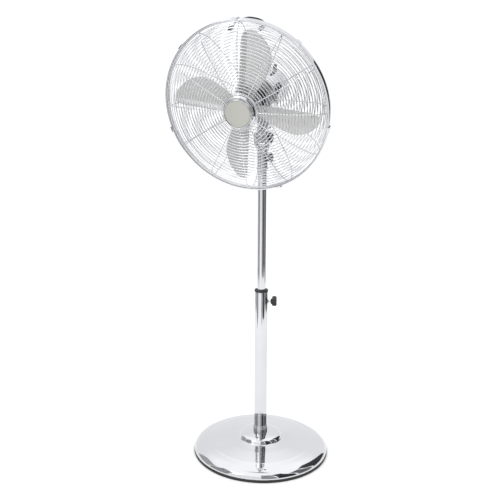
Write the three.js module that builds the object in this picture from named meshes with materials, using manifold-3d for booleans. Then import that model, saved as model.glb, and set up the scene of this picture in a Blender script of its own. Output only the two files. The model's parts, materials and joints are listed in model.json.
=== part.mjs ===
// Pedestal fan: a wire-guarded head with four metal blades on a telescopic pole and a round weighted base.
// Millimetres, +Z up. The origin is on the floor under the pole, and the fan blows towards -Y.
// Head pieces are built in a frame of their own: its origin is the tilt bolt, X is the bolt's axis,
// Z points up the motor bracket and "forward" is -Y. The whole head frame leans down by headLean.
import * as THREE from "three";
import { mergeVertices } from "three/addons/utils/BufferGeometryUtils.js";
import Module from "manifold-3d";

const wasm = await Module();
wasm.setup();

// ---- driving dimensions ----
const gap = 0.3;               // between pieces that touch
const studRadius = 2.5;        // of the two clamp studs
const studBore = 2.9;
const boltRadius = 4;          // of the tilt bolt
const boltBore = 4.3;
const baseRadius = 198;
const trimHeight = 8;
const coverTop = 62;
const outerTubeRadius = 19;
const innerTubeRadius = 12.5;
const wall = 1.5;
const outerTubeTop = 496.5;
const innerTubeBottom = 390;
const tiltHeight = 936;        // tilt bolt above the floor
const headLean = 14;           // degrees, down from level
const axisHeight = 114.5;      // fan axis above the tilt bolt
const pinSetback = 15;         // oscillation pin behind the tilt bolt
const guardRadius = 225;
const rimForward = 98;         // rim plane ahead of the tilt bolt
const bladeForward = 93;
const bladeThickness = 1.5;
const lipSlope = 0.28;         // extra forward slope of a blade's trailing strip
const housingRadius = 50;
const housingFront = 12;         // along the fan axis
const housingRear = -139.5;
const statorRadius = 40;
const wireHalf = 1.6;          // half the width of a guard wire's solid
const spokeCount = 12;
const wormLead = 3.927;
const wheelTeeth = 24;
const gearForward = -78;
const gearOffset = 20.8;       // worm wheel's axis beside the motor shaft
const heightKnobZ = 467;
const heightKnobAzimuth = 19;  // degrees from +X towards +Y
const neckKnobZ = 881;
const clipAngles = [-13, 47, 91, 135, 196, 290];

const degrees = Math.PI / 180;
const drops = 14;              // segments of a small round piece
const rounds = 20;             // segments of a medium one
const hoops = 24;              // segments of a guard hoop
const wideRounds = 32;         // segments of the base and the band

// ---- materials ----
const finish = (color, roughness, metalness) => new THREE.MeshStandardMaterial({ color, roughness, metalness });
const chrome = finish("#d8dadd", 0.12, 1);
const steel = finish("#9a9ca0", 0.4, 1);
const silverPaint = finish("#c9c9c6", 0.45, 0.4);
const badgeSilver = finish("#c6c6bd", 0.4, 0.5);
const blackPlastic = finish("#161618", 0.5, 0);
const blackRubber = finish("#1b1b1c", 0.8, 0);
const whitePlastic = finish("#dcdad2", 0.5, 0);
const copper = finish("#b5642f", 0.35, 1);
const bronze = finish("#a9813f", 0.45, 1);
const castAlloy = finish("#a7a9ab", 0.5, 0.9);
const castIron = finish("#4a4c4f", 0.75, 0.6);

// ---- solids ----
function signedVolume(geometry) {
  const position = geometry.getAttribute("position");
  const index = geometry.index.array;
  const [a, b, c] = [new THREE.Vector3(), new THREE.Vector3(), new THREE.Vector3()];
  let sum = 0;
  for (let i = 0; i < index.length; i += 3) {
    a.fromBufferAttribute(position, index[i]);
    b.fromBufferAttribute(position, index[i + 1]);
    c.fromBufferAttribute(position, index[i + 2]);
    sum += a.dot(b.cross(c));
  }
  return sum;
}

// A closed mesh that shares its vertices, has no empty faces, and faces out.
function welded(geometry) {
  const bare = geometry.clone();
  bare.deleteAttribute("normal");
  bare.deleteAttribute("uv");
  const merged = mergeVertices(bare, 1e-4);
  const source = merged.index.array;
  const faces = [];
  for (let i = 0; i < source.length; i += 3) {
    const [a, b, c] = [source[i], source[i + 1], source[i + 2]];
    if (a !== b && b !== c && c !== a) {
      faces.push(a, b, c);
    }
  }
  merged.setIndex(faces);
  if (signedVolume(merged) < 0) {
    merged.setIndex(faces.reverse());
  }
  return merged;
}

function toSolid(geometry) {
  const mesh = welded(geometry);
  return new wasm.Manifold(new wasm.Mesh({
    numProp: 3,
    vertProperties: new Float32Array(mesh.getAttribute("position").array),
    triVerts: new Uint32Array(mesh.index.array),
  }));
}

function toGeometry(solid) {
  const mesh = solid.getMesh();
  const geometry = new THREE.BufferGeometry();
  geometry.setAttribute("position", new THREE.BufferAttribute(new Float32Array(mesh.vertProperties), 3));
  geometry.setIndex(new THREE.BufferAttribute(new Uint32Array(mesh.triVerts), 1));
  return geometry;
}

const joined = (...pieces) => toGeometry(pieces.map(toSolid).reduce((all, piece) => all.add(piece)));
const cut = (body, ...tools) =>
  toGeometry(tools.map(toSolid).reduce((left, tool) => left.subtract(tool), toSolid(body)));

// Turns a LatheGeometry's Y axis to the named direction; "forward" is -Y.
function aimed(geometry, axis) {
  const turns = { z: ["rotateX", 90], x: ["rotateZ", -90], forward: ["rotateX", 180], y: ["rotateX", 0] };
  const [method, angle] = turns[axis];
  return geometry[method](angle * degrees);
}

// Revolves [radius, along] points. A profile that doesn't reach the axis closes on itself.
function turned(profile, axis = "z", segments = drops) {
  const points = profile.map(([radius, along]) => new THREE.Vector2(radius, along));
  if (profile[0][0] > 0) {
    points.push(points[0].clone());
  }
  return aimed(new THREE.LatheGeometry(points, segments), axis);
}

const bar = (radius, from, to, axis = "z", segments = drops) =>
  turned([[0, from], [radius, from], [radius, to], [0, to]], axis, segments);
const pipe = (inner, outer, from, to, axis = "z", segments = drops) =>
  turned([[inner, from], [outer, from], [outer, to], [inner, to]], axis, segments);
const block = (width, depth, height, x, y, z) =>
  new THREE.BoxGeometry(width, depth, height).translate(x, y, z);

// Extrudes an outline of [x, y] points up +Z from `from` to `to`.
function plate(outline, from, to) {
  const shape = new THREE.Shape(outline.map(([x, y]) => new THREE.Vector2(x, y)));
  return new THREE.ExtrudeGeometry(shape, { depth: to - from, bevelEnabled: false }).translate(0, 0, from);
}

// A rod with a regular section along a curve.
function rod(curve, radius, sides, steps) {
  const section = [];
  for (let side = 0; side < sides; side += 1) {
    const angle = (side + 0.5) * 2 * Math.PI / sides;
    section.push(new THREE.Vector2(radius * Math.cos(angle), radius * Math.sin(angle)));
  }
  const shape = new THREE.Shape(section);
  return new THREE.ExtrudeGeometry(shape, { steps, bevelEnabled: false, extrudePath: curve });
}

// A hand knob about +Z: a cylinder with a scalloped edge.
function lobedKnob(radius, lobes, depth, from, to) {
  const outline = [];
  const pointsPerLobe = 4;
  for (let i = 0; i < lobes * pointsPerLobe; i += 1) {
    const angle = i * 2 * Math.PI / (lobes * pointsPerLobe);
    const edge = radius - depth * (1 - Math.cos(lobes * angle)) / 2;
    outline.push([edge * Math.cos(angle), edge * Math.sin(angle)]);
  }
  return plate(outline, from, to);
}

// ---- the scene graph ----
const fan = new THREE.Group();
const head = new THREE.Group();     // origin at the tilt bolt
const axle = new THREE.Group();     // origin on the fan axis, above the tilt bolt
head.position.z = tiltHeight;
head.rotation.x = headLean * degrees;
axle.position.z = axisHeight;
head.add(axle);
fan.add(head);

function add(parent, name, geometry, material) {
  const mesh = new THREE.Mesh(welded(geometry), material);
  mesh.name = name;
  parent.add(mesh);
  return mesh;
}

// ---- base ----
function buildBase() {
  const sheet = 2;
  const rim = baseRadius - 1;
  const outside = [[rim, trimHeight + gap], [rim + 0.5, 12], [rim - 3, 19], [rim - 11, 25], [170, 31],
    [150, 35], [66, 45], [64, 46.5], [62, 51], [58, 56], [50, 58.5], [24, coverTop], [6.6, coverTop]];
  const inside = [[6.6, coverTop - sheet], [24, coverTop - sheet], [56, 54], [61, 48], [64, 43], [149, 33],
    [rim - 12, 23], [rim - 1.8, 12], [rim - 2, trimHeight + gap]];
  add(fan, "base_cover", turned([...outside, ...inside], "z", wideRounds), chrome);
  const grip = rim - 2 - gap;      // the lip that stands inside the cover's edge
  const lip = [[rim - 11, 0], [baseRadius, 0], [baseRadius, trimHeight], [grip, trimHeight], [grip, 11],
    [grip - 2.2, 11], [grip - 2.2, trimHeight], [rim - 11, 4]];
  add(fan, "base_trim", turned(lip, "z", wideRounds), blackRubber);
  add(fan, "base_weight", pipe(6.2, 160, 6, 14, "z", rounds), castIron);
  add(fan, "base_spacer", pipe(6.4, 16, 14 + gap, coverTop - sheet - gap), steel);
  const shank = bar(5.7, 3, coverTop + 16);
  add(fan, "base_bolt", joined(shank, bar(11, 0.8, 6 - gap, "z", 6)), steel);
  add(fan, "foot_plug", pipe(6, outerTubeRadius - wall - gap, coverTop + gap, coverTop + 22), castAlloy);
  add(fan, "socket_ring", pipe(outerTubeRadius + gap, 21.5, coverTop + gap, coverTop + 17, "z", rounds), chrome);
}

// ---- pole and its height clamp ----
function buildPole() {
  const bore = bar(studBore + 0.6, 10, 30, "x").rotateZ(heightKnobAzimuth * degrees)
    .translate(0, 0, heightKnobZ);
  const tube = pipe(outerTubeRadius - wall, outerTubeRadius, coverTop + 2 * gap, outerTubeTop, "z", rounds);
  add(fan, "outer_tube", cut(tube, bore), chrome);
  const bushing = pipe(innerTubeRadius + gap, outerTubeRadius - wall - gap, 440, outerTubeTop, "z", rounds);
  add(fan, "guide_bushing", cut(bushing, bore), whitePlastic);
  const collar = pipe(innerTubeRadius + gap, 20, outerTubeTop + gap, outerTubeTop + 7.5, "z", rounds);
  add(fan, "collar", collar, blackPlastic);
  const clamp = new THREE.Group();
  clamp.position.z = heightKnobZ;
  clamp.rotation.z = heightKnobAzimuth * degrees;
  fan.add(clamp);
  const studEnd = 36;
  add(clamp, "clamp_nut", pipe(studBore, 6, outerTubeRadius + gap, 21.5, "x"), chrome);
  add(clamp, "height_knob_stud", bar(studRadius, innerTubeRadius + 0.7, studEnd, "x"), steel);
  const star = lobedKnob(15.5, 5, 4, 31, 44).rotateY(90 * degrees);
  const knob = joined(star, bar(8, 27, 32, "x"));
  add(clamp, "height_knob", cut(knob, bar(studBore, 20, studEnd + gap, "x")), blackPlastic);
  add(fan, "inner_tube", pipe(innerTubeRadius - 1.2, innerTubeRadius, innerTubeBottom, 903, "z", rounds), chrome);
}

// ---- neck: the fork on top of the column ----
function buildNeck() {
  const earRadius = 17;
  const sleeve = turned([[0, 904], [12.8, 904], [12.8, 849], [17.5, 849], [17.5, 853], [15, 854], [15, 898],
    [20.5, 908], [20.5, 915], [0, 915]], "z", rounds);
  const ears = [-1, 1].map((side) => {
    const [inner, outer] = [side * 11, side * 20];
    const round = bar(earRadius, Math.min(inner, outer), Math.max(inner, outer), "x", rounds)
      .translate(0, 0, tiltHeight);
    const web = block(9, 2 * earRadius - 10, 24, (inner + outer) / 2, 0, 925);
    return joined(round, web);
  });
  const boss = bar(7.5, 13.5, 16.8, "x").translate(0, 0, neckKnobZ);
  const studHole = bar(studBore, 0, 30, "x").translate(0, 0, neckKnobZ);
  const boltHole = bar(boltBore, -30, 30, "x").translate(0, 0, tiltHeight);
  add(fan, "neck_fork", cut(joined(sleeve, ...ears, boss), studHole, boltHole), chrome);
  const studEnd = 24;
  const stud = bar(studRadius, innerTubeRadius + 0.4, studEnd, "x").translate(0, 0, neckKnobZ);
  add(fan, "neck_knob_stud", stud, steel);
  const neckStar = lobedKnob(13, 6, 1.6, 17.2, 29).rotateY(90 * degrees);
  const neckKnob = cut(neckStar, bar(studBore, 10, studEnd + gap, "x")).translate(0, 0, neckKnobZ);
  add(fan, "neck_knob", neckKnob, blackPlastic);
  const boltEnd = 23;
  const boltShank = bar(boltRadius, -22, boltEnd, "x");
  const boltHead = bar(7.5, -25, -20.4, "x", 6);
  add(fan, "tilt_bolt", joined(boltShank, boltHead).translate(0, 0, tiltHeight), steel);
  const tiltStar = lobedKnob(14, 8, 1.4, 20.5, 29).rotateY(90 * degrees);
  const tiltKnob = cut(tiltStar, bar(boltBore, 10, boltEnd + gap, "x")).translate(0, 0, tiltHeight);
  add(fan, "tilt_knob", tiltKnob, blackPlastic);
}

// ---- head: knuckle, pin and motor bracket ----
function buildKnuckle() {
  const capRadius = 21;
  const capBase = 20;
  const capTop = 31;
  const tongue = bar(16, -10.5, 10.5, "x", rounds);
  const capProfile = [[0, capBase], [capRadius - 4, capBase], [capRadius, capBase + 3],
    [capRadius - 1, capBase + 7], [capRadius - 7, capTop], [0, capTop]];
  const cap = turned(capProfile, "z", rounds).translate(0, pinSetback, 0);
  const riser = block(21, 30, capBase + 2, 0, 7, (capBase + 2) / 2);
  const pinBore = bar(6.3, capBase - 6, capTop + 5).translate(0, pinSetback, 0);
  const boltHole = bar(boltBore, -20, 20, "x");
  add(head, "tilt_knuckle", cut(joined(tongue, cap, riser), pinBore, boltHole), chrome);
  const pin = joined(bar(6, capBase - 5, 70), bar(7.6, 66.2, 69));
  add(head, "oscillation_pin", pin.translate(0, pinSetback, 0), steel);
  const sleeve = turned([[6.4, capTop + gap], [16, capTop + gap], [17, 36], [17, 72], [8, 72], [8, 65.8],
    [6.4, 65.8]]);
  const saddleRing = pipe(statorRadius + 0.7, housingRadius - wall - 0.7, -30, 0, "forward", rounds)
    .translate(0, 0, axisHeight);
  const below = block(52, 60, 30, 0, pinSetback, axisHeight - 45);
  const saddle = toGeometry(toSolid(saddleRing).intersect(toSolid(below)));
  const opening = bar(8, 60, 90);
  const bracket = joined(saddle, sleeve.clone().translate(0, pinSetback, 0));
  const core = bar(statorRadius + 0.7, -40, 10, "forward", rounds).translate(0, 0, axisHeight);
  add(head, "motor_bracket", cut(bracket, core, opening.translate(0, pinSetback, 0)), castAlloy);
}

// ---- motor ----
function buildMotor() {
  const skin = 1.5;
  const [width, end] = [housingRadius, housingRear];
  const outer = [[width, housingFront], [width, end + 46], [width - 1.6, end + 35], [width - 5, end + 26],
    [width - 9.5, end + 17], [width - 17, end + 8], [width - 27, end + 1.5], [0, end]];
  const inner = [[0, end + skin], [width - 27.5, end + 3], [width - 17.8, end + 9], [width - 10.8, end + 17.8],
    [width - 6.5, end + 26.4], [width - 3.1, end + 35.2], [width - skin, end + 46], [width - skin, housingFront]];
  const shell = turned([...outer.toReversed(), ...inner.toReversed()], "forward", wideRounds)
    .translate(0, 0, axisHeight);
  const pinHole = bar(17.5, 55, 80).translate(0, pinSetback, 0);
  const knobHole = bar(3.6, 140, 170).translate(gearOffset, -gearForward, 0);
  const glandHole = bar(5, 60, 80).translate(0, 62, 0);
  const switchHole = bar(4.2, end - 5, end + 10, "forward").translate(0, 0, axisHeight);
  add(head, "motor_housing", cut(shell, pinHole, knobHole, glandHole, switchHole), chrome);
  const gland = turned([[3, -9.5], [5, -9.5], [7.2, -6.5], [7.2, -1.5], [4.7, -0.5], [4.7, 3.5], [3, 3.5]]);
  add(head, "cord_gland", gland.translate(0, 62, axisHeight - housingRadius), blackRubber);
  const frontPlate = [[4.6, 16], [4.6, 30], [19, 30], [19, 17], [44, 17], [housingRadius, 15],
    [housingRadius, housingFront + gap], [15, housingFront + gap], [15, 6], [11.3, 6], [11.3, 16]];
  add(axle, "motor_front_plate", turned(frontPlate, "forward", rounds), castAlloy);
  const plateEdge = housingRadius - skin - 0.7;
  const rearPlate = [[15, -58], [15, -50], [plateEdge, -50], [plateEdge, -47], [11.3, -47], [11.3, -57],
    [5, -57], [5, -58]];
  add(axle, "motor_rear_plate", turned(rearPlate, "forward", rounds), castAlloy);
  add(axle, "front_bearing", pipe(4.3, 11, 7, 15.7, "forward"), bronze);
  add(axle, "rear_bearing", pipe(4.3, 11, -56.7, -47.3, "forward"), bronze);
  add(axle, "stator_core", pipe(23.8, statorRadius, -35, -5, "forward", rounds), steel);
  add(axle, "winding_front", turned([[27, -4.7], [37, -4.7], [38, 0], [34, 4.5], [29, 4.5], [26, 0]],
    "forward", rounds), copper);
  add(axle, "winding_rear", turned([[27, -35.3], [37, -35.3], [38, -40], [34, -44.5], [29, -44.5], [26, -40]],
    "forward", rounds), copper);
  add(axle, "run_capacitor", block(22, 21, 20, -26, 76, 0), whitePlastic);
  const body = bar(12, end + 5.5, end + 22.5, "forward");
  add(axle, "speed_switch", cut(body, bar(4, end - 1, end + 15.5, "forward")), blackPlastic);
  const knobProfile = [[0, end - 13.5], [11.5, end - 13.5], [13.5, end - 11], [14, end - 1.5], [4.2, end - 0.9],
    [3.5, end - 0.5], [3.5, end + 13.5], [0, end + 13.5]];
  const pointer = block(2.4, 4, 9, 0, 13.5 - end, 7);
  add(axle, "speed_knob", joined(turned(knobProfile, "forward"), pointer), blackPlastic);
}

// ---- worm gear that drives the oscillation ----
class Helix extends THREE.Curve {
  constructor(radius, lead, from, to, zero) {
    super();
    Object.assign(this, { radius, lead, from, to, zero });
  }

  // Right-handed about the forward axis; it crosses +X at `zero` along the axis.
  getPoint(t, target = new THREE.Vector3()) {
    const along = this.from + (this.to - this.from) * t;
    const angle = 2 * Math.PI * (along - this.zero) / this.lead;
    return target.set(this.radius * Math.cos(angle), -along, this.radius * Math.sin(angle));
  }
}

function gearOutline(teeth, rootRadius, tipRadius) {
  const outline = [];
  const pitch = 2 * Math.PI / teeth;
  const [rootHalf, tipHalf] = [1 / rootRadius, 0.45 / tipRadius];
  for (let tooth = 0; tooth < teeth; tooth += 1) {
    const middle = (tooth + 0.5) * pitch;
    for (const [radius, offset] of [[rootRadius, -rootHalf], [tipRadius, -tipHalf], [tipRadius, tipHalf],
      [rootRadius, rootHalf]]) {
      outline.push([radius * Math.cos(middle + offset), radius * Math.sin(middle + offset)]);
    }
  }
  return outline;
}

function buildGears() {
  const turnsOfThread = 4;
  const stepsPerTurn = 10;
  const reach = turnsOfThread * wormLead / 2;
  const helix = new Helix(4.9, wormLead, gearForward - reach, gearForward + reach, gearForward);
  const thread = rod(helix, 0.8, 4, turnsOfThread * stepsPerTurn);
  const core = bar(4.3, gearForward - 12, gearForward + 12, "forward", stepsPerTurn);
  const shaft = turned([[0, -92], [4, -92], [4, 100], [5, 100], [5, 101.5], [3, 102], [3, 116], [0, 116]],
    "forward");
  add(axle, "motor_shaft", joined(shaft, core, thread), steel);
  add(axle, "rotor", pipe(4.3, 23.2, -34, -6, "forward", rounds), steel);
  const wheel = joined(plate(gearOutline(wheelTeeth, 13.6, 16.2), -2, 2), bar(5, -5, 4));
  add(axle, "worm_wheel", wheel.translate(gearOffset, -gearForward, 0), whitePlastic);
  const chamber = cut(bar(19.4, -7.5, 9.5), bar(17.7, -12, 8)).translate(gearOffset, -gearForward, 0);
  const tunnel = bar(9, gearForward - 14, gearForward + 13.5, "forward");
  const tunnelBore = bar(7, gearForward - 20, gearForward + 20, "forward");
  const cavity = bar(17.7, -12, 8).translate(gearOffset, -gearForward, 0);
  const spindleHole = bar(3.6, 0, 20).translate(gearOffset, -gearForward, 0);
  add(axle, "gear_case", cut(joined(chamber, tunnel), tunnelBore, cavity, spindleHole), castAlloy);
  const knobRadius = 6;
  const knobFoot = Math.sqrt(housingRadius ** 2 - (gearOffset - knobRadius) ** 2) + 0.6;
  const knob = turned([[0, 5], [3, 5], [3, knobFoot], [knobRadius, knobFoot], [knobRadius, knobFoot + 3],
    [4.6, knobFoot + 5], [5.6, knobFoot + 12], [4.8, knobFoot + 15.5], [0, knobFoot + 16.5]]);
  add(axle, "oscillation_knob", knob.translate(gearOffset, -gearForward, 0), blackPlastic);
}

// ---- blades ----
// Edges in the blade's own plane, as [across, along]: across grows clockwise seen from the front.
const trailingEdge = new THREE.SplineCurve([[-11, 27], [-16, 45], [-17, 90], [-17, 140], [-16.5, 176],
  [-11, 194], [-1, 199]].map(([x, y]) => new THREE.Vector2(x, y)));
const leadingEdge = new THREE.SplineCurve([[11, 27], [24, 42], [43, 77], [54, 108], [57, 138], [44, 170],
  [22, 192], [9, 198.6]].map(([x, y]) => new THREE.Vector2(x, y)));

// Forward rise of the blade's sheet: a twisted pitch, with a steeper lip along the trailing edge.
function bladeRise(across, along) {
  const pitch = (21 - 6 * along / 200) * degrees;
  const lip = Math.max(0, -3 - across);
  return -Math.tan(pitch) * (across - 8) + lipSlope * lip;
}

// Bends a flat box onto the blade's sheet between two edges; `lift` is the sheet's height over it.
function bladeSheet(trailing, leading, acrossSteps, alongSteps, thickness, lift) {
  const geometry = new THREE.BoxGeometry(1, 1, 1, acrossSteps, alongSteps, 1);
  const position = geometry.getAttribute("position");
  for (let i = 0; i < position.count; i += 1) {
    const [s, t, level] = [position.getX(i) + 0.5, position.getY(i) + 0.5, position.getZ(i)];
    const point = trailing.getPoint(t).lerp(leading.getPoint(t), s);
    const forward = bladeForward + bladeRise(point.x, point.y) + lift + thickness * level;
    position.setXYZ(i, point.x, -forward, point.y);
  }
  return geometry;
}

function buildBlades() {
  const firstBlade = 8;        // degrees clockwise from up, seen from the front
  const armEdge = (across) => new THREE.SplineCurve([new THREE.Vector2(across * 0.8, 8),
    new THREE.Vector2(across, 62)]);
  const arms = [];
  for (let i = 0; i < 4; i += 1) {
    const turn = (firstBlade + 90 * i) * degrees;
    const blade = bladeSheet(trailingEdge, leadingEdge, 4, 10, bladeThickness, 0);
    add(axle, `blade_${i + 1}`, blade.rotateY(turn), silverPaint);
    arms.push(bladeSheet(armEdge(-9), armEdge(12), 2, 4, 1.6, -(bladeThickness + 1.6) / 2 - 1).rotateY(turn));
  }
  const boss = bar(16, 78, 99.7, "forward");
  const bore = bar(4 + gap, 70, 101, "forward");
  add(axle, "blade_hub", cut(joined(boss, ...arms), bore), silverPaint);
  const nut = turned([[3 + gap, 101.8 + gap], [12, 101.8 + gap], [13, 104], [11, 114], [6, 119], [0, 119],
    [0, 116 + gap], [3 + gap, 116 + gap]], "forward");
  add(axle, "blade_nut", nut, blackPlastic);
}

// ---- guards ----
const frontBowl = [[46, 38], [80, 38], [120, 36], [150, 33], [175, 29], [200, 22], [213, 13], [221, 4]];
const rearBowl = [[58, -76], [90, -72], [121, -66], [155, -58], [188, -47], [205, -33], [216, -18], [221, -4]];
const spokeSteps = 6;
const hoopEvery = 2;           // a hoop crosses every second bend of the spokes

function guardCurve(bowl) {
  return new THREE.SplineCurve(bowl.map(([radius, depth]) => new THREE.Vector2(radius, rimForward + depth)));
}

function hoop(radius, forward) {
  const half = wireHalf;
  return turned([[radius, forward - half], [radius + half, forward], [radius, forward + half],
    [radius - half, forward]], "forward", hoops);
}

function spoke(bends, angle) {
  const path = new THREE.CurvePath();
  for (let i = 0; i < bends.length; i += 1) {
    const { x: radius, y: forward } = bends[i];
    bends[i].spot = new THREE.Vector3(radius * Math.cos(angle), -forward, radius * Math.sin(angle));
    if (i > 0) {
      path.add(new THREE.LineCurve3(bends[i - 1].spot, bends[i].spot));
    }
  }
  return rod(path, wireHalf, 4, spokeSteps);
}

function wireGuard(bowl, firstAngle) {
  const bends = guardCurve(bowl).getSpacedPoints(spokeSteps);
  const wires = bends.filter((bend, i) => i % hoopEvery === 0).map(({ x, y }) => hoop(x, y));
  for (let i = 0; i < spokeCount; i += 1) {
    wires.push(spoke(bends, (firstAngle + 360 * i / spokeCount) * degrees));
  }
  return wires;
}

function buildGuards() {
  add(axle, "front_guard", joined(...wireGuard(frontBowl, -2)), chrome);
  const platePlane = rimForward + rearBowl[0][1];
  const centrePlate = pipe(19 + gap, 59, platePlane - 1.5, platePlane + 1, "forward", hoops);
  add(axle, "rear_guard", joined(centrePlate, ...wireGuard(rearBowl, 0)), chrome);
  const guardNut = pipe(19 + gap, 27, platePlane + 1 + gap, platePlane + 7, "forward", rounds);
  add(axle, "guard_nut", guardNut, blackPlastic);
  const bandInner = 223.4;
  const band = pipe(bandInner, guardRadius + 1, rimForward - 8, rimForward + 8, "forward", 2 * hoops);
  add(axle, "rim_band", band, chrome);
  clipAngles.forEach((angle, i) => {
    const ends = [-9.3, 9.3].map((side) => block(6, 2, 15, guardRadius + 0.6, side - rimForward, 0));
    const clip = joined(block(2.2, 20.6, 15, guardRadius + 2.5, -rimForward, 0), ...ends);
    add(axle, `rim_clip_${i + 1}`, clip.rotateY(-angle * degrees), chrome);
  });
  const capProfile = [[44, 134], [44, 137], [40.5, 140], [38, 145], [37.4, 152], [35.6, 152], [36.2, 144.4],
    [38.8, 138.8], [42, 135.5], [42, 134]];
  add(axle, "badge_cap", turned(capProfile, "forward", rounds), chrome);
  const face = turned([[0, 148.6], [35.2, 148.6], [35.2, 150.4], [33.5, 151.6], [0, 151.8]],
    "forward", rounds);
  add(axle, "badge_face", face, badgeSilver);
}

// ---- carry handle behind the top of the rear guard ----
function buildHandle() {
  const footAcross = 42;
  const footUp = 190;
  const half = [[footAcross, 41, footUp], [footAcross, 31, 192], [40, 23, 198], [29, 20, 204.5], [15, 20, 208.5]];
  const mirrored = half.map(([x, forward, up]) => [-x, forward, up]);
  const path = new THREE.CatmullRomCurve3([...mirrored, [0, 20, 210.5], ...half.toReversed()]
    .map(([x, forward, up]) => new THREE.Vector3(x, -forward, up)));
  const feet = [-1, 1].map((side) => bar(6, 39, 53, "forward").translate(side * footAcross, 0, footUp));
  add(axle, "carry_handle", joined(rod(path, 2.7, 8, 20), ...feet), blackPlastic);
}

buildBase();
buildPole();
buildNeck();
buildKnuckle();
buildMotor();
buildGears();
buildBlades();
buildGuards();
buildHandle();

export default fan;
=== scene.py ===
"""Pedestal fan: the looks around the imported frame. Lengths below are millimetres unless a name ends in _m."""
import json
import math
import bmesh
import bpy
from mathutils import Matrix, Vector


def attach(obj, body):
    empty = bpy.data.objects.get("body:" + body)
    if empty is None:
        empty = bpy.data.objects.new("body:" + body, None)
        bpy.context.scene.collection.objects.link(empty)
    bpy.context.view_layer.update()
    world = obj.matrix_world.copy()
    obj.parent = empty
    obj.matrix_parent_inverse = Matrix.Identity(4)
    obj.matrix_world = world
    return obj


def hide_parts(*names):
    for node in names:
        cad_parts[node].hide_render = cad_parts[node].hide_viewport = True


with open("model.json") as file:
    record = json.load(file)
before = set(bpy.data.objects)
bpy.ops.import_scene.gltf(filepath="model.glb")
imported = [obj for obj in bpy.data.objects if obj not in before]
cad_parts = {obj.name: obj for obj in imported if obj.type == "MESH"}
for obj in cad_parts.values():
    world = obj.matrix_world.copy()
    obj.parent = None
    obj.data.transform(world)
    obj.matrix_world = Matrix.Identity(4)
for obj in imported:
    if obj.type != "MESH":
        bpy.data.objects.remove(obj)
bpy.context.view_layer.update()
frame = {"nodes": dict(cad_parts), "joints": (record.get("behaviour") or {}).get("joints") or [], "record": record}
nodes = frame["nodes"]
joints = {joint["name"]: joint for joint in frame["joints"]}
MM = 0.001

# ---- driving dimensions, as in the CAD ----
GAP = 0.3                      # between neighbouring pieces
BASE_RADIUS = 198
TRIM_HEIGHT = 8                # of the rubber ring under the base cover's edge
COVER_TOP = 62
COVER_SHEET = 2
POLE_RADIUS = 19
POLE_WALL = 1.5
POLE_TOP = 496.5
POST_RADIUS = 12.5             # the inner tube, which slides in the pole
FORK_SEAT = 904                # the post ends just under it, inside the neck fork
HOUSING_RADIUS = 50
HOUSING_SKIN = 1.5
HOUSING_FRONT = 12             # along the fan's axis, like every plane from here on
HOUSING_REAR = -139.5
BLADE_PLANE = 93
RIM_PLANE = 98                 # where the two guards meet
GUARD_RADIUS = 225


# ---- frames: each takes its own coordinates, in mm, to the scene's, in metres ----
def axes(origin_m, x, y, z):
    matrix = Matrix((x, y, z)).transposed().to_4x4()
    return Matrix.Translation(origin_m) @ matrix @ Matrix.Scale(MM, 4)


SIDE = Vector((1, 0, 0))
FORWARD = Vector(joints["blade_spin"]["axis"])
UP = Vector(joints["head_swing"]["axis"])
BACK = -FORWARD
AXLE_m = Vector(joints["blade_spin"]["pos_m"])
TILT_m = Vector(joints["head_tilt"]["pos_m"])
PIN_m = Vector(joints["head_swing"]["pos_m"])
WORLD = Matrix.Scale(MM, 4)
TURNED = axes(AXLE_m, SIDE, UP, FORWARD)          # z runs forward along the fan's axis
HEAD = axes(TILT_m, SIDE, BACK, UP)
PIN = axes(PIN_m, SIDE, BACK, UP)
AXLE_HEIGHT = (AXLE_m - TILT_m).dot(UP) / MM      # of the fan's axis over the tilt bolt


def sideways(origin_m, back=Vector((0, 1, 0)), up=Vector((0, 0, 1))):
    """z runs along +X."""
    return axes(origin_m, back, up, SIDE)


# ---- camera ----
CAMERA_HEADING = 25.6          # degrees from looking along +Y towards -X


def make_camera():
    place_m = (0.798, -2.029, 1.169)
    pitch_down = 14.17
    roll = -0.578
    data = bpy.data.cameras.new("camera")
    data.sensor_width = 36
    data.lens = 57.13
    data.shift_x = 0.0878
    camera = bpy.data.objects.new("camera", data)
    turn = Matrix.Rotation(math.radians(CAMERA_HEADING), 4, "Z")
    lean = Matrix.Rotation(math.radians(90 - pitch_down), 4, "X")
    twist = Matrix.Rotation(math.radians(roll), 4, "Z")
    camera.matrix_world = Matrix.Translation(place_m) @ turn @ lean @ twist
    bpy.context.scene.collection.objects.link(camera)
    bpy.context.scene.camera = camera


make_camera()


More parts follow.
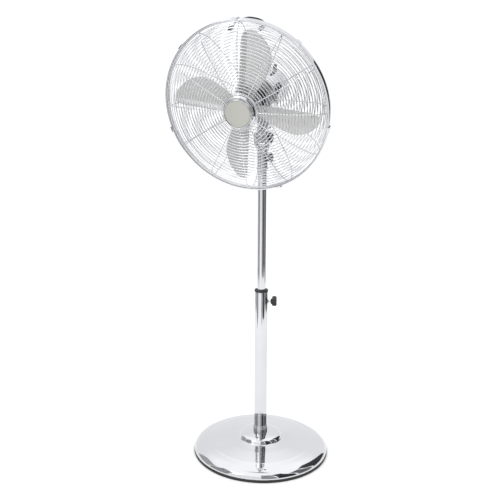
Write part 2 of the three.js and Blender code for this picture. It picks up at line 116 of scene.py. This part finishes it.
# ---- materials ----
def material(name, color, metallic, roughness, grain=900.0, bump=0.02, spread=0.05, tint=0.03, smudge=6.0):
    """Principled, with fine grain in the bump and slow changes in roughness and colour."""
    made = bpy.data.materials.new(name)
    made.use_nodes = True
    tree = made.node_tree
    shader = tree.nodes["Principled BSDF"]
    shader.inputs["Metallic"].default_value = metallic
    where = tree.nodes.new("ShaderNodeTexCoord")
    slow = tree.nodes.new("ShaderNodeTexNoise")
    slow.inputs["Scale"].default_value = smudge
    slow.inputs["Detail"].default_value = 6
    fine = tree.nodes.new("ShaderNodeTexNoise")
    fine.inputs["Scale"].default_value = grain
    fine.inputs["Detail"].default_value = 3
    tree.links.new(where.outputs["Object"], slow.inputs["Vector"])
    tree.links.new(where.outputs["Object"], fine.inputs["Vector"])
    level = tree.nodes.new("ShaderNodeMapRange")
    level.inputs["From Min"].default_value = 0.3
    level.inputs["From Max"].default_value = 0.7
    level.inputs["To Min"].default_value = max(0.0, roughness - spread)
    level.inputs["To Max"].default_value = min(1.0, roughness + spread)
    tree.links.new(slow.outputs["Fac"], level.inputs["Value"])
    tree.links.new(level.outputs["Result"], shader.inputs["Roughness"])
    ramp = tree.nodes.new("ShaderNodeValToRGB")
    dark = [channel * (1 - tint) for channel in color]
    light = [min(1.0, channel * (1 + tint)) for channel in color]
    ramp.color_ramp.elements[0].position = 0.35
    ramp.color_ramp.elements[0].color = (*dark, 1)
    ramp.color_ramp.elements[1].position = 0.65
    ramp.color_ramp.elements[1].color = (*light, 1)
    tree.links.new(slow.outputs["Fac"], ramp.inputs["Fac"])
    tree.links.new(ramp.outputs["Color"], shader.inputs["Base Color"])
    relief = tree.nodes.new("ShaderNodeBump")
    relief.inputs["Strength"].default_value = bump
    relief.inputs["Distance"].default_value = 0.0005
    tree.links.new(fine.outputs["Fac"], relief.inputs["Height"])
    tree.links.new(relief.outputs["Normal"], shader.inputs["Normal"])
    return made


CHROME = material("chrome_plate", (0.66, 0.665, 0.68), 1.0, 0.045, bump=0.01, spread=0.02, tint=0.02,
                  smudge=9)
WIRE = material("chrome_wire", (0.77, 0.775, 0.79), 1.0, 0.12, bump=0.03, spread=0.04, tint=0.04, smudge=30)
BLADE = material("blade_paint", (0.58, 0.578, 0.567), 0.55, 0.3, grain=1400, bump=0.06, tint=0.03)
BADGE = material("badge_paint", (0.44, 0.44, 0.40), 0.3, 0.38, grain=1800, bump=0.06, tint=0.03)
PLASTIC = material("black_moulding", (0.018, 0.018, 0.02), 0.0, 0.45, grain=1500, bump=0.15, tint=0.15)
RUBBER = material("black_rubber", (0.022, 0.022, 0.022), 0.0, 0.7, grain=700, bump=0.25, tint=0.2)
NYLON = material("white_nylon", (0.72, 0.71, 0.67), 0.0, 0.5, grain=1200, bump=0.1)
STEEL = material("zinc_steel", (0.50, 0.50, 0.52), 1.0, 0.35, grain=1100, bump=0.1, spread=0.1)
ALLOY = material("cast_alloy", (0.52, 0.52, 0.53), 1.0, 0.5, grain=600, bump=0.3, spread=0.1)
IRON = material("cast_iron", (0.09, 0.09, 0.1), 0.6, 0.75, grain=350, bump=0.6, spread=0.1, tint=0.2)
COPPER = material("winding_wire", (0.60, 0.29, 0.14), 1.0, 0.35, grain=2500, bump=0.8)
BRONZE = material("sintered_bronze", (0.50, 0.36, 0.16), 1.0, 0.45, grain=1500, bump=0.3)
BY_SLOT = {"chrome": CHROME, "steel": STEEL, "silver_paint": BLADE, "badge_silver": BADGE,
           "black_plastic": PLASTIC, "black_rubber": RUBBER, "white_plastic": NYLON, "copper": COPPER,
           "bronze": BRONZE, "cast_alloy": ALLOY, "cast_iron": IRON}


def dress_frame():
    """Gives every carried-over CAD node the material of its slot."""
    for part in frame["record"]["subparts"]:
        mesh = nodes[part["node"]].data
        mesh.materials.clear()
        mesh.materials.append(BY_SLOT[part["material_slot"]])


# ---- mesh code ----
def piece(name, shapes, look, body, replaced=(), sharp=32):
    """One object from (matrix, vertices, faces) shapes, smooth but for edges sharper than `sharp` degrees."""
    mesh = bpy.data.meshes.new(name)
    vertices = []
    faces = []
    for matrix, points, loops in shapes:
        base = len(vertices)
        vertices += [matrix @ Vector(point) for point in points]
        faces += [[base + corner for corner in loop] for loop in loops]
    mesh.from_pydata(vertices, [], faces)
    work = bmesh.new()
    work.from_mesh(mesh)
    bmesh.ops.remove_doubles(work, verts=work.verts, dist=1e-6)
    bmesh.ops.recalc_face_normals(work, faces=work.faces)
    for face in work.faces:
        face.smooth = True
    for edge in work.edges:
        edge.smooth = len(edge.link_faces) == 2 and edge.calc_face_angle(0) < math.radians(sharp)
    work.to_mesh(mesh)
    work.free()
    mesh.materials.append(look)
    made = bpy.data.objects.new(name, mesh)
    bpy.context.scene.collection.objects.link(made)
    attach(made, body)
    if replaced:
        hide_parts(*replaced)
    return made


def softened(profile, radius, closed, steps=4):
    """Rounds a profile's corners with arcs no larger than its sides allow."""
    points = [Vector(point) for point in profile]
    count = len(points)
    rounded = []
    for i, corner in enumerate(points):
        if not closed and i in (0, count - 1):
            rounded.append(tuple(corner))
            continue
        before = points[i - 1] - corner
        after = points[(i + 1) % count] - corner
        reach = min(radius, before.length * 0.45, after.length * 0.45)
        start = corner + before.normalized() * reach
        end = corner + after.normalized() * reach
        for step in range(steps + 1):
            t = step / steps
            rounded.append(tuple(start.lerp(corner, t).lerp(corner.lerp(end, t), t)))
    return rounded


def turned(matrix, profile, radius=1.0, segments=96, shape=None):
    """Revolves [radius, along] points about z; a profile that ends off the axis closes on itself."""
    closed = profile[0][0] > 1e-6
    points = softened(profile, radius, closed)
    rings = []
    vertices = []
    for r, z in points:
        if r < 1e-6:
            rings.append([len(vertices)] * segments)
            vertices.append((0, 0, z))
            continue
        ring = []
        for i in range(segments):
            angle = 2 * math.pi * i / segments
            scale = shape(angle) if shape else 1.0
            ring.append(len(vertices))
            vertices.append((r * scale * math.cos(angle), r * scale * math.sin(angle), z))
        rings.append(ring)
    faces = []
    pairs = list(zip(rings, rings[1:]))
    if closed:
        pairs.append((rings[-1], rings[0]))
    for low, high in pairs:
        for i in range(segments):
            j = (i + 1) % segments
            loop = []
            for corner in (low[i], low[j], high[j], high[i]):
                if corner not in loop:
                    loop.append(corner)
            if len(loop) > 2:
                faces.append(loop)
    return matrix, vertices, faces


def tube(matrix, path, radius, sides):
    """A wire along points, with flat ends."""
    path = [Vector(point) for point in path]
    count = len(path)
    vertices = []
    faces = []
    first = (path[1] - path[0]).normalized()
    normal = first.orthogonal().normalized()
    for i, point in enumerate(path):
        ahead = path[i + 1] if i < count - 1 else point
        behind = path[i - 1] if i > 0 else point
        tangent = (ahead - behind).normalized()
        normal = (normal - tangent * normal.dot(tangent)).normalized()
        across = tangent.cross(normal)
        for side in range(sides):
            angle = 2 * math.pi * side / sides
            vertices.append(point + radius * (normal * math.cos(angle) + across * math.sin(angle)))
    for i in range(count - 1):
        j = i + 1
        for side in range(sides):
            k = (side + 1) % sides
            faces.append([i * sides + side, i * sides + k, j * sides + k, j * sides + side])
    faces.append(list(range(sides))[::-1])
    faces.append([(count - 1) * sides + side for side in range(sides)])
    return matrix, vertices, faces


def hoop(matrix, radius, along, wire, segments=128, sides=8):
    """A round ring with a round section, without twist."""
    profile_steps = [2 * math.pi * side / sides for side in range(sides)]
    vertices = []
    faces = []
    for i in range(segments):
        angle = 2 * math.pi * i / segments
        for turn in profile_steps:
            r = radius + wire * math.cos(turn)
            vertices.append((r * math.cos(angle), r * math.sin(angle), along + wire * math.sin(turn)))
    for i in range(segments):
        j = (i + 1) % segments
        for side in range(sides):
            k = (side + 1) % sides
            faces.append([i * sides + side, i * sides + k, j * sides + k, j * sides + side])
    return matrix, vertices, faces


def slab(matrix, outline, low, high, edge=0.8):
    """An extruded outline of (x, y) points whose two rims are rounded in."""
    count = len(outline)
    centre = sum((Vector(point) for point in outline), Vector((0, 0))) / count
    layers = []
    faces = []
    for inset, z in ((edge, low), (edge * 0.3, low + edge * 0.3), (0, low + edge), (0, high - edge),
                     (edge * 0.3, high - edge * 0.3), (edge, high)):
        for point in outline:
            spoke = Vector(point) - centre
            at = centre + spoke * (1 - inset / spoke.length)
            layers.append((at.x, at.y, z))
    steps = len(layers) // count - 1
    for step in range(steps):
        low = step * count
        for i in range(count):
            j = (i + 1) % count
            faces.append([low + i, low + j, low + count + j, low + count + i])
    faces.append(list(range(count))[::-1])
    faces.append([steps * count + i for i in range(count)])
    return matrix, layers, faces


def arc_plate(matrix, radii, span, angles, steps):
    """A curved plate between two radii and over a stretch of z, from one angle to the other in degrees."""
    corners = [(radii[0], span[0]), (radii[1], span[0]), (radii[1], span[1]), (radii[0], span[1])]
    section = softened(corners, 0.8, True)
    count = len(section)
    vertices = []
    for step in range(steps + 1):
        angle = math.radians(angles[0] + (angles[1] - angles[0]) * step / steps)
        vertices += [(r * math.cos(angle), r * math.sin(angle), z) for r, z in section]
    faces = []
    for step in range(steps):
        for i in range(count):
            j = (i + 1) % count
            low = step * count
            faces.append([low + i, low + j, low + count + j, low + count + i])
    faces.append(list(range(count))[::-1])
    faces.append([steps * count + i for i in range(count)])
    return matrix, vertices, faces


def spline(points, steps):
    """Even Catmull-Rom steps through a list of points."""
    points = [Vector(point) for point in points]
    ends = [points[0] * 2 - points[1], *points, points[-1] * 2 - points[-2]]
    path = []
    for i in range(1, len(ends) - 2):
        a, b, c, d = ends[i - 1:i + 3]
        for step in range(steps):
            t = step / steps
            path.append(0.5 * (2 * b + (c - a) * t + (2 * a - 5 * b + 4 * c - d) * t ** 2
                               + (3 * b - a - 3 * c + d) * t ** 3))
    path.append(points[-1])
    return path


def ring_profile(inner, outer, low, high):
    """The section of a plain ring, or of a disc when `inner` is 0."""
    return [(inner, low), (outer, low), (outer, high), (inner, high)]


def lobes(count, depth):
    """The edge of a hand knob: deep scallops between rounded lobes."""
    return lambda angle: 1 - depth * (1 - math.cos(count * angle)) / 2


# ---- base and pole ----
def make_base():
    rim = BASE_RADIUS - 1
    edge = TRIM_HEIGHT + GAP
    outside = [(6.6, COVER_TOP), (24, COVER_TOP), (50, 58.6), (58, 56.1), (62, 51), (64, 46.6), (66, 45),
               (100, 42), (149.2, 35.4), (151, 34.6), (170, 31), (rim - 11, 25), (rim - 3, 18.5),
               (rim + 0.4, 12), (rim, edge)]
    under = COVER_TOP - COVER_SHEET
    inside = [(rim - 2, edge), (rim - 1.8, 12), (rim - 5, 17), (rim - 12, 23), (169, 29), (149, 33), (64, 43),
              (61, 48), (56, 54), (24, under), (6.6, under)]
    cover = turned(WORLD, outside + inside, 6, 192)
    piece("base_cover_shell", [cover], CHROME, "base", ["base_cover"], 40)
    grip = rim - 2 - GAP
    lip = [(rim - 11, 0), (BASE_RADIUS, 0), (BASE_RADIUS, TRIM_HEIGHT - 0.1), (grip, TRIM_HEIGHT), (grip, 11),
           (grip - 2.2, 11), (grip - 2.2, TRIM_HEIGHT), (rim - 11, 4)]
    piece("base_edge_ring", [turned(WORLD, lip, 2.2, 192)], RUBBER, "base", ["base_trim"])
    ring = ring_profile(POLE_RADIUS + GAP, 21.5, COVER_TOP + GAP, COVER_TOP + 17)
    piece("pole_socket_ring", [turned(WORLD, ring, 0.8)], CHROME, "base", ["socket_ring"])


def make_pole():
    outer = ring_profile(POLE_RADIUS - POLE_WALL, POLE_RADIUS, COVER_TOP + 2 * GAP, POLE_TOP)
    piece("outer_pole", [turned(WORLD, outer, 0.4, 96)], CHROME, "base", ["outer_tube"])
    inner = ring_profile(POST_RADIUS - 1.2, POST_RADIUS, 390, FORK_SEAT - 1)
    piece("inner_pole", [turned(WORLD, inner, 0.4, 96)], CHROME, "column", ["inner_tube"])
    bore = POST_RADIUS + GAP
    low = POLE_TOP + GAP
    top = POLE_TOP + 7.5
    collar = [(bore, low), (19.2, low), (20, low + 2.7), (18.8, top - 1.2), (15.5, top), (bore, top)]
    piece("pole_collar", [turned(WORLD, collar, 1.2)], PLASTIC, "base", ["collar"])


def knob_axes(joint):
    """z runs along the named hinge's axis."""
    along = Vector(joints[joint]["axis"])
    up = Vector((0, 0, 1))
    return axes(Vector(joints[joint]["pos_m"]), up.cross(along), up, along)


def make_height_clamp():
    place = knob_axes("height_knob_turn")
    nut = [(2.9, POLE_RADIUS + GAP), (6, POLE_RADIUS + GAP), (6, 20.6), (5, 21.5), (2.9, 21.5)]
    piece("clamp_boss", [turned(place, nut, 0.6, 48)], CHROME, "base", ["clamp_nut"])
    neck = turned(place, ring_profile(0, 8, 27, 32), 0.8, 48)
    grip = [(0, 31), (13, 31), (15.4, 33), (15.5, 41), (13.5, 44), (0, 44)]
    star = turned(place, grip, 1.6, 120, lobes(5, 0.26))
    piece("height_knob_grip", [neck, star], PLASTIC, "height_clamp", ["height_knob"])
    stud = turned(place, ring_profile(0, 2.5, POST_RADIUS + 0.7, 28), 0.5, 32)
    piece("height_stud", [stud], CHROME, "height_clamp", ["height_knob_stud"])


def make_neck():
    bore = POST_RADIUS + GAP
    foot = 849
    profile = [(0, FORK_SEAT), (bore, FORK_SEAT), (bore, foot), (17.5, foot), (17.5, foot + 4),
               (15.1, foot + 5), (15, FORK_SEAT - 6), (20.4, FORK_SEAT + 4), (20.4, FORK_SEAT + 11),
               (0, FORK_SEAT + 11)]
    tilt = sideways(TILT_m)
    reach = 17
    drop = 22.5
    arc = [math.radians(degrees) for degrees in range(-10, 191, 6)]
    ear = [(reach * math.cos(angle), reach * math.sin(angle)) for angle in arc]
    ear += [(-reach + 5, -drop), (reach - 5, -drop)]
    ears = [slab(tilt, ear, low, low + 9, 1.2) for low in (-20, 11)]
    neck_knob = knob_axes("neck_knob_turn")
    boss = turned(neck_knob, ring_profile(0, 7.5, 13.5, 16.8), 0.8, 48)
    casting = [turned(WORLD, profile, 1.2), *ears, boss]
    piece("neck_fork_casting", casting, CHROME, "column", ["neck_fork"])
    grip = [(0, 17.2), (10.5, 17.2), (13, 19), (13, 26.5), (11, 29), (0, 29)]
    scalloped = turned(neck_knob, grip, 1.2, 144, lobes(12, 0.1))
    piece("neck_knob_grip", [scalloped], PLASTIC, "neck_clamp", ["neck_knob"])
    wide = [(0, 20.5), (12, 20.5), (14, 22.5), (14, 26.5), (12, 29), (0, 29)]
    scalloped = turned(knob_axes("tilt_knob_turn"), wide, 1.2, 144, lobes(12, 0.1))
    piece("tilt_knob_grip", [scalloped], PLASTIC, "tilt_clamp", ["tilt_knob"])
    shank = turned(tilt, ring_profile(0, 4, -22, 22), 0.3, 32)
    cap = turned(tilt, [(0, -25), (5.5, -25), (7.5, -23.6), (7.5, -20.4), (0, -20.4)], 0.5, 6)
    piece("tilt_bolt_hex", [shank, cap], STEEL, "column", ["tilt_bolt"])


# ---- knuckle and motor ----
def make_knuckle():
    tongue = turned(sideways(TILT_m, BACK, UP), ring_profile(0, 16, -10.5, 10.5), 1.5, 64)
    riser = slab(HEAD, [(-10.5, -8), (10.5, -8), (10.5, 22), (-10.5, 22)], 0, 22, 1)
    cap_top = 31
    cap = turned(PIN, [(0, 20), (17, 20), (21, 22.5), (20.4, 26), (17, 29), (12, cap_top), (0, cap_top)], 2)
    piece("tilt_knuckle_casting", [tongue, riser, cap], CHROME, "yoke", ["tilt_knuckle"])
    foot = cap_top + GAP
    sleeve = turned(PIN, [(6.4, foot), (16, foot), (17, 36), (17, 72), (8, 72), (8, 65.8), (6.4, 65.8)], 1)
    saddle = arc_plate(TURNED, (40.8, HOUSING_RADIUS - 2.3), (-30, 0), (237.5, 302.5), 24)
    piece("swing_bracket", [sleeve, saddle], ALLOY, "head", ["motor_bracket"])


def make_housing():
    width = HOUSING_RADIUS
    end = HOUSING_REAR
    bore = HOUSING_RADIUS - HOUSING_SKIN
    outer = [(0, end), (width - 27, end + 1.5), (width - 17, end + 8), (width - 9.5, end + 17),
             (width - 5, end + 26), (width - 1.6, end + 35), (width, end + 46), (width, HOUSING_FRONT)]
    inner = [(bore, HOUSING_FRONT), (bore, end + 46), (width - 3.1, end + 35.2), (width - 6.5, end + 26.4),
             (width - 10.8, end + 17.8), (width - 17.8, end + 9), (width - 27.5, end + 3),
             (0, end + HOUSING_SKIN)]
    shell = turned(TURNED, outer + inner, 7, 128)
    piece("motor_shell", [shell], CHROME, "head", ["motor_housing"], 40)
    seat = HOUSING_FRONT + GAP
    front = [(4.6, 16), (4.6, 30), (19, 30), (19, 17), (44, 17), (width, 15), (width, seat), (15, seat),
             (15, 6), (11.3, 6), (11.3, 16)]
    plate = turned(TURNED, front, 0.8)
    piece("front_plate_casting", [plate], ALLOY, "head", ["motor_front_plate"])
    bush = [(3, -9.5), (5, -9.5), (7.2, -6.5), (7.2, -1.5), (4.7, -0.5), (4.7, 3.5), (3, 3.5)]
    place = HEAD @ Matrix.Translation((0, 62, AXLE_HEIGHT - HOUSING_RADIUS))
    piece("lead_gland", [turned(place, bush, 0.8, 48)], RUBBER, "head", ["cord_gland"])


def make_controls():
    place = axes(Vector(joints["worm_wheel_spin"]["pos_m"]), SIDE, BACK, UP)
    foot = 48.4                # where the button leaves the housing
    profile = [(0, 5), (3, 5), (3, foot), (6, foot), (6, foot + 3), (4.6, foot + 5), (5.6, foot + 11.5),
               (4.8, foot + 15.5), (0, foot + 16.4)]
    button = turned(place, profile, 1.0, 64)
    piece("swing_button", [button], PLASTIC, "oscillation_button", ["oscillation_knob"])
    end = HOUSING_REAR
    dial = [(0, end - 13.5), (11.5, end - 13.5), (13.5, end - 11), (14, end - 1.5), (4.2, end - 0.9),
            (3.5, end - 0.5), (3.5, end + 13.5), (0, end + 13.5)]
    knurled = turned(TURNED, dial, 1.0, 120, lobes(24, 0.04))
    ridge = [(-1.1, -2), (1.1, -2), (1.1, 11.5), (-1.1, 11.5)]
    pointer = slab(TURNED, ridge, end - 15.5, end - 12.9, 0.4)
    piece("speed_dial_grip", [knurled, pointer], PLASTIC, "speed_dial", ["speed_knob"])


# ---- blades ----
FIRST_BLADE = 8                # degrees clockwise from up, seen from the front
TRAILING = [(-11, 27), (-16, 45), (-17, 90), (-17, 140), (-16.5, 176), (-11, 194), (-1, 199)]
LEADING = [(11, 27), (24, 42), (43, 77), (54, 108), (57, 138), (44, 170), (22, 192), (9, 198.6)]


def blade_rise(across, along):
    """Forward height of the sheet: a twisted pitch and a steeper lip along the trailing edge."""
    pitch = math.radians(21 - 6 * along / 200)
    lip = max(0.0, -3 - across)
    return -math.tan(pitch) * (across - 8) + 0.28 * lip


def resample(points, count):
    """`count` + 1 evenly spaced points along a spline."""
    path = spline(points, 24)
    lengths = [0.0]
    for a, b in zip(path, path[1:]):
        lengths.append(lengths[-1] + (b - a).length)
    even = []
    j = 0
    for i in range(count + 1):
        target = lengths[-1] * i / count
        while j < len(path) - 2 and lengths[j + 1] < target:
            j += 1
        t = (target - lengths[j]) / (lengths[j + 1] - lengths[j])
        even.append(path[j].lerp(path[j + 1], t))
    return even


def blade_shape(turn, trailing, leading, thickness, lift, rows, columns):
    """A closed sheet between two edges, in the fan axis' frame, turned clockwise seen from the front."""
    matrix = TURNED @ Matrix.Rotation(-turn, 4, "Z")
    left = resample(trailing, rows)
    right = resample(leading, rows)
    vertices = []
    for level in (-0.5, 0.5):
        for row in range(rows + 1):
            for column in range(columns + 1):
                t = column / columns
                spot = left[row].lerp(right[row], t)
                taper = 1 - 0.75 * max(0.0, abs(2 * t - 1) - 0.9) / 0.1
                rise = blade_rise(spot.x, spot.y) + lift + thickness * taper * level
                vertices.append((spot.x, spot.y, BLADE_PLANE + rise))
    faces = []
    layer = (rows + 1) * (columns + 1)
    across = columns + 1
    for row in range(rows):
        for column in range(columns):
            a = row * across + column
            faces.append([a, a + across, a + across + 1, a + 1])
            faces.append([layer + a, layer + a + 1, layer + a + across + 1, layer + a + across])
    rim = [column for column in range(columns)]
    rim += [row * across + columns for row in range(rows)]
    rim += [rows * across + column for column in range(columns, 0, -1)]
    rim += [row * across for row in range(rows, 0, -1)]
    for a, b in zip(rim, rim[1:] + rim[:1]):
        faces.append([a, b, layer + b, layer + a])
    return matrix, vertices, faces


def make_blades():
    arms = []
    for i in range(4):
        turn = math.radians(FIRST_BLADE + 90 * i)
        sheet = blade_shape(turn, TRAILING, LEADING, 1.4, 0, 48, 28)
        piece(f"fan_blade_{i + 1}", [sheet], BLADE, "rotating", [f"blade_{i + 1}"], 50)
        arms.append(blade_shape(turn, [(-7, 8), (-9, 62)], [(9.6, 8), (12, 62)], 1.6, -2.6, 10, 6))
        matrix = TURNED @ Matrix.Rotation(-turn, 4, "Z")
        rivets = []
        for x, y in ((-4, 36), (7, 36), (1.5, 54)):
            rise = BLADE_PLANE + blade_rise(x, y) + 0.5
            spot = matrix @ Matrix.Translation((x, y, rise)) @ Matrix.Rotation(math.radians(20), 4, "Y")
            rivets.append(turned(spot, [(0, 0), (3.2, 0), (2.6, 1.2), (0, 1.7)], 0.5, 24))
        piece(f"blade_rivets_{i + 1}", rivets, STEEL, "rotating")
    boss = turned(TURNED, ring_profile(4.3, 16, 78, 99.7), 1.2, 64)
    piece("blade_spider", [boss, *arms], BLADE, "rotating", ["blade_hub"])
    nut = [(0, 116.3), (3.3, 116.3), (3.3, 102.1), (12, 102.1), (13, 104), (11, 114), (6, 119), (0, 119)]
    piece("spinner_nut", [turned(TURNED, nut, 1.0, 64)], PLASTIC, "rotating", ["blade_nut"])


# ---- guards ----
# Each bowl's section: [radius, forward of the rim's plane].
FRONT_BOWL = [(46, 38), (80, 38), (120, 36), (150, 33), (175, 29), (200, 22), (213, 13), (221, 4)]
REAR_BOWL = [(58, -76), (90, -72), (121, -66), (155, -58), (188, -47), (205, -33), (216, -18), (221, -4)]
RING_PITCH = 8.05
LAST_RING = 217                # no fine ring lies farther out than this
RIM_WIRE = 2.0
RING_WIRE = 1.1
SPOKE_WIRE = 1.3
SPOKES = 12


def guard_rings(bowl, inward):
    """Fine rings a pitch apart along the bowl, over the spokes; the first lies half a pitch out."""
    path = spline(bowl, 12)
    length = sum((b - a).length for a, b in zip(path, path[1:]))
    halves = resample(bowl, 2 * round(length / RING_PITCH))
    return [hoop(TURNED, spot.x, RIM_PLANE + spot.y - inward * 0.2, RING_WIRE)
            for spot in halves[1::2] if spot.x < LAST_RING]


def guard_spokes(bowl, first_angle, inward):
    spokes = []
    for i in range(SPOKES):
        angle = math.radians(first_angle + 360 * i / SPOKES)
        path = [(point.x * math.cos(angle), point.x * math.sin(angle), RIM_PLANE + point.y - inward * 2.2)
                for point in spline(bowl, 4)]
        spokes.append(tube(TURNED, path, SPOKE_WIRE, 8))
    return spokes


def make_guards():
    rim_radius, rim_depth = FRONT_BOWL[-1]
    front = guard_rings(FRONT_BOWL, 1) + guard_spokes(FRONT_BOWL, -2, 1)
    front.append(hoop(TURNED, 46.2, RIM_PLANE + 38 - 1.6, 1.5))
    front.append(hoop(TURNED, rim_radius, RIM_PLANE + rim_depth, RIM_WIRE, 192))
    piece("front_guard_wires", front, WIRE, "head", ["front_guard"], 60)
    rear = guard_rings(REAR_BOWL, -1) + guard_spokes(REAR_BOWL, 0, -1)
    rear.append(hoop(TURNED, rim_radius, RIM_PLANE - rim_depth, RIM_WIRE, 192))
    rear.append(turned(TURNED, [(19.3, 20.5), (59, 20.5), (60, 21.5), (60, 23), (19.3, 23)], 0.6))
    piece("rear_guard_wires", rear, WIRE, "head", ["rear_guard"], 60)
    nut = turned(TURNED, ring_profile(19.3, 27, 23.5, 29), 0.8, 96, lobes(16, 0.05))
    piece("guard_ring_nut", [nut], PLASTIC, "head", ["guard_nut"])


def make_rim_band():
    """A shallow channel, open inwards, that holds both guards' rims."""
    half = [(GUARD_RADIUS + 1, 7.4), (GUARD_RADIUS - 1.6, 8), (GUARD_RADIUS - 3.2, 7.4),
            (GUARD_RADIUS - 1.8, 6.4), (GUARD_RADIUS - 1.2, 5)]
    section = half + [(radius, -along) for radius, along in half[::-1]]
    band = turned(TURNED @ Matrix.Translation((0, 0, RIM_PLANE)), section, 0.8, 256)
    piece("rim_band_channel", [band], CHROME, "head", ["rim_band"])


def make_clips():
    inner = GUARD_RADIUS - 2
    under = GUARD_RADIUS + 1.8
    strap = [(inner, -10.2), (under + 1.6, -10.2), (under + 1.7, 10.2), (inner, 10.2), (inner, 8.6),
             (under, 8.4), (under, -8.4), (inner, -8.6)]
    section = softened(strap, 1.4, True, 3)
    count = len(section)
    half = 7.2
    for i, angle in enumerate([-13, 47, 91, 135, 196, 290]):
        place = TURNED @ Matrix.Rotation(math.radians(angle), 4, "Z")
        vertices = [(x, side * half, RIM_PLANE + z) for side in (-1, 1) for x, z in section]
        faces = [[j, (j + 1) % count, count + (j + 1) % count, count + j] for j in range(count)]
        faces += [list(range(count))[::-1], [count + j for j in range(count)]]
        clip = (place, vertices, faces)
        piece(f"rim_clip_strap_{i + 1}", [clip], CHROME, "head", [f"rim_clip_{i + 1}"])


def make_badge():
    cap = [(44, 134), (44, 137), (40.5, 140), (38, 145), (37.4, 152), (35.6, 152), (36.2, 144.4),
           (38.8, 138.8), (42, 135.5), (42, 134)]
    piece("badge_surround", [turned(TURNED, cap, 1.4, 128)], CHROME, "head", ["badge_cap"])
    face = [(0, 148.6), (35.2, 148.6), (35.2, 150.2), (34.2, 151.4), (0, 151.8)]
    piece("badge_disc", [turned(TURNED, face, 0.8, 128)], BADGE, "head", ["badge_face"])


def make_handle():
    across = 42
    foot_up = 190
    half = [(across, foot_up, 41), (across, 192, 31), (40, 198, 23), (29, 204.5, 20), (15, 208.5, 20)]
    mirrored = [(-x, up, forward) for x, up, forward in half]
    path = spline([*mirrored, (0, 210.5, 20), *half[::-1]], 8)
    profile = [(0, 39), (4.6, 39), (6, 40.4), (6, 53), (0, 53)]
    shapes = [tube(TURNED, path, 2.6, 16)]
    for side in (-1, 1):
        place = TURNED @ Matrix.Translation((side * across, foot_up, 0))
        shapes.append(turned(place, profile, 0.8, 48))
    piece("top_handle", shapes, PLASTIC, "head", ["carry_handle"], 50)


# ---- studio ----
SCREEN_RADIUS_m = 1.25         # how far from the pole the screens stand
# Each screen: from and to, in degrees to the viewer's right as seen from the pole; its grey; and in metres how
# far its middle and its corners stay off the floor and how high it reaches.
SCREENS = [(-124, -90, 0.40, 0.10, 0.16, 1.0),
           (-88, -54, 0.34, 0.02, 0.14, 1.6),
           (-2, 22, 0.32, 0.06, 0.16, 2.6),
           (24, 53, 0.015, 0.10, 0.12, 2.6),
           (57, 84, 0.13, 0.12, 0.20, 1.6),
           (88, 124, 0.03, 0.09, 0.14, 1.7)]


def stand(name, vertices, faces, look):
    """A mesh of the studio, not of the object."""
    mesh = bpy.data.meshes.new(name)
    mesh.from_pydata(vertices, [], faces)
    mesh.materials.append(look)
    made = bpy.data.objects.new(name, mesh)
    bpy.context.scene.collection.objects.link(made)
    return made


def make_screens():
    """Upright screens round the fan that only show in reflections, each with a blunt point at the bottom."""
    for i, (start, end, grey, low, corner, top) in enumerate(SCREENS):
        points = []
        middle = (start + end) / 2
        for angle, height in ((start, top), (start, corner), (middle, low), (end, corner), (end, top)):
            bearing = math.radians(CAMERA_HEADING + angle - 90)
            points.append((SCREEN_RADIUS_m * math.cos(bearing), SCREEN_RADIUS_m * math.sin(bearing), height))
        look = material(f"screen_{i + 1}", (grey * 0.96, grey * 0.97, grey), 0.0, 0.9, tint=0.05)
        screen = stand(f"screen_{i + 1}", points, [(0, 1, 2), (0, 2, 4), (2, 3, 4)], look)
        screen.visible_camera = False
        screen.visible_shadow = False
        screen.visible_diffuse = False


def make_sky():
    """Even white light to about 35 degrees up, brighter overhead like a soft box."""
    world = bpy.data.worlds.new("studio")
    bpy.context.scene.world = world
    world.use_nodes = True
    tree = world.node_tree
    background = tree.nodes["Background"]
    background.inputs["Strength"].default_value = 1.0
    where = tree.nodes.new("ShaderNodeTexCoord")
    split = tree.nodes.new("ShaderNodeSeparateXYZ")
    tree.links.new(where.outputs["Generated"], split.inputs["Vector"])
    ramp = tree.nodes.new("ShaderNodeValToRGB")
    ramp.color_ramp.elements[0].position = 0.58
    ramp.color_ramp.elements[0].color = (1.05, 1.055, 1.065, 1)
    ramp.color_ramp.elements[1].position = 0.78
    ramp.color_ramp.elements[1].color = (1.36, 1.365, 1.38, 1)
    tree.links.new(split.outputs["Z"], ramp.inputs["Fac"])
    tree.links.new(ramp.outputs["Color"], background.inputs["Color"])


def make_studio():
    reach = 14
    corners = [(-reach, -reach, 0), (reach, -reach, 0), (reach, reach, 0), (-reach, reach, 0)]
    paper = material("floor_paper", (0.93, 0.93, 0.93), 0.0, 0.6, grain=200, bump=0.02, tint=0.005)
    stand("floor", corners, [(0, 1, 2, 3)], paper)
    make_screens()
    make_sky()
    for name, place, power in (("key", (-1.4, -2.2, 2.9), 20), ("fill", (2.2, -1.2, 2.6), 8)):
        light = bpy.data.lights.new(name, "AREA")
        light.size = 1.4
        light.energy = power
        lamp = bpy.data.objects.new(name, light)
        lamp.location = place
        lamp.rotation_euler = (Vector((0, 0, 0.7)) - Vector(place)).to_track_quat("-Z", "Y").to_euler()
        bpy.context.scene.collection.objects.link(lamp)
    bpy.context.scene.view_settings.view_transform = "Standard"


dress_frame()
make_base()
make_pole()
make_height_clamp()
make_neck()
make_knuckle()
make_housing()
make_controls()
make_blades()
make_guards()
make_rim_band()
make_clips()
make_badge()
make_handle()
make_studio()
